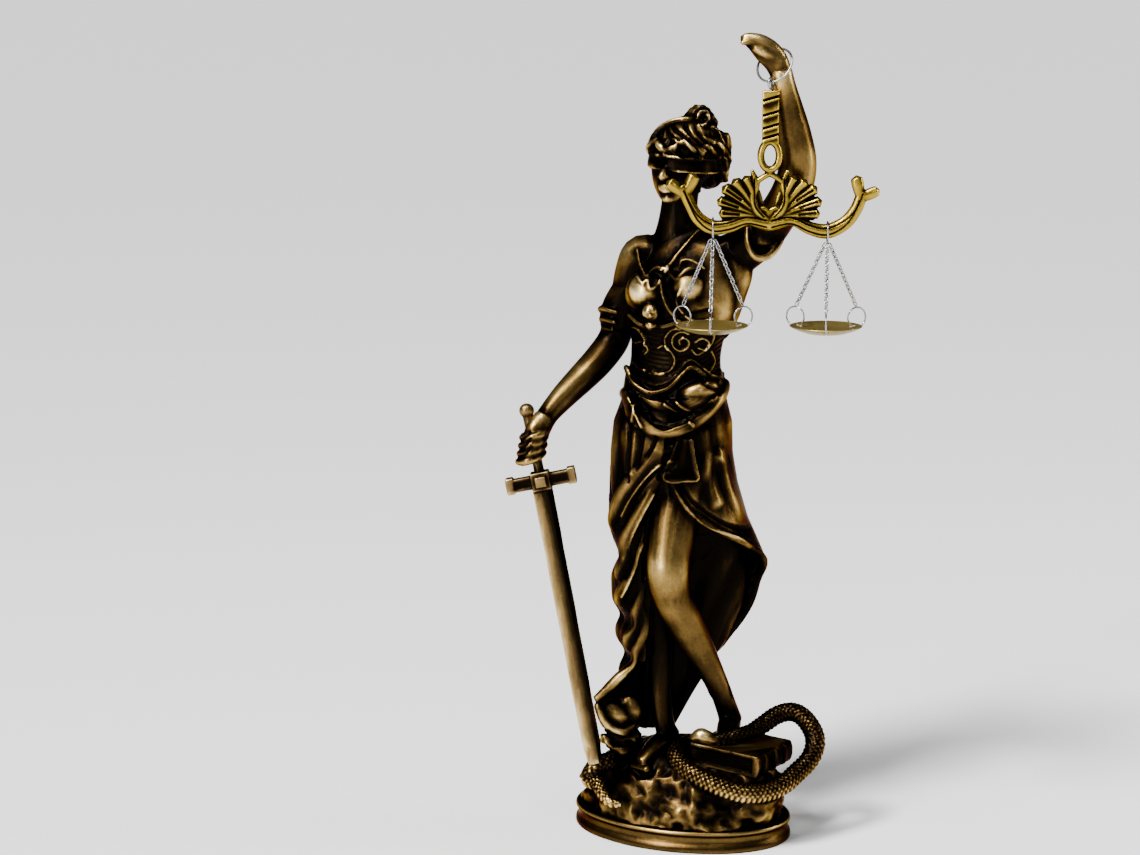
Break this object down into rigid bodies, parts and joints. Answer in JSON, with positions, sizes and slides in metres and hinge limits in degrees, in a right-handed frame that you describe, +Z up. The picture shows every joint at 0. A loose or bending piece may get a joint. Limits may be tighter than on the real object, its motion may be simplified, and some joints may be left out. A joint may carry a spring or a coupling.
{
  "type": "lady justice statue",
  "caption": "Cast figurine of a blindfolded robed woman with a raised balance scale, a lowered sword, a snake and a book on an oval moulded base.",
  "frame": {"origin": "centre of the oval base's flat underside", "axes": "+Z up through the figure to the raised hand, X along the oval base's long axis, the figure faces -Y"},
  "size_m": [0.1393, 0.0833, 0.3103],
  "materials": {
    "bronze_cast": "cast resin with antique bronze paint, rubbed gold on the raised parts, semi-gloss",
    "gilt_brass": "cast, bright old gold with dark recesses",
    "pan_brass": "satin olive brass",
    "steel_wire": "bright nickel wire and fine chain"
  },
  "bodies": {
    "root": {"statue": "bronze_cast", "scale_beam": "gilt_brass", "wrist_ring": "steel_wire", "beam_eye": "steel_wire", "hook_left": "steel_wire", "hook_right": "steel_wire", "pan_left": "pan_brass", "pan_right": "pan_brass", "chain_left_1": "steel_wire", "chain_left_2": "steel_wire", "chain_left_3": "steel_wire", "pan_ring_left_1": "steel_wire", "pan_ring_left_2": "steel_wire", "pan_ring_left_3": "steel_wire", "chain_right_1": "steel_wire", "chain_right_2": "steel_wire", "chain_right_3": "steel_wire", "pan_ring_right_1": "steel_wire", "pan_ring_right_2": "steel_wire", "pan_ring_right_3": "steel_wire"}
  },
  "joints": []
}
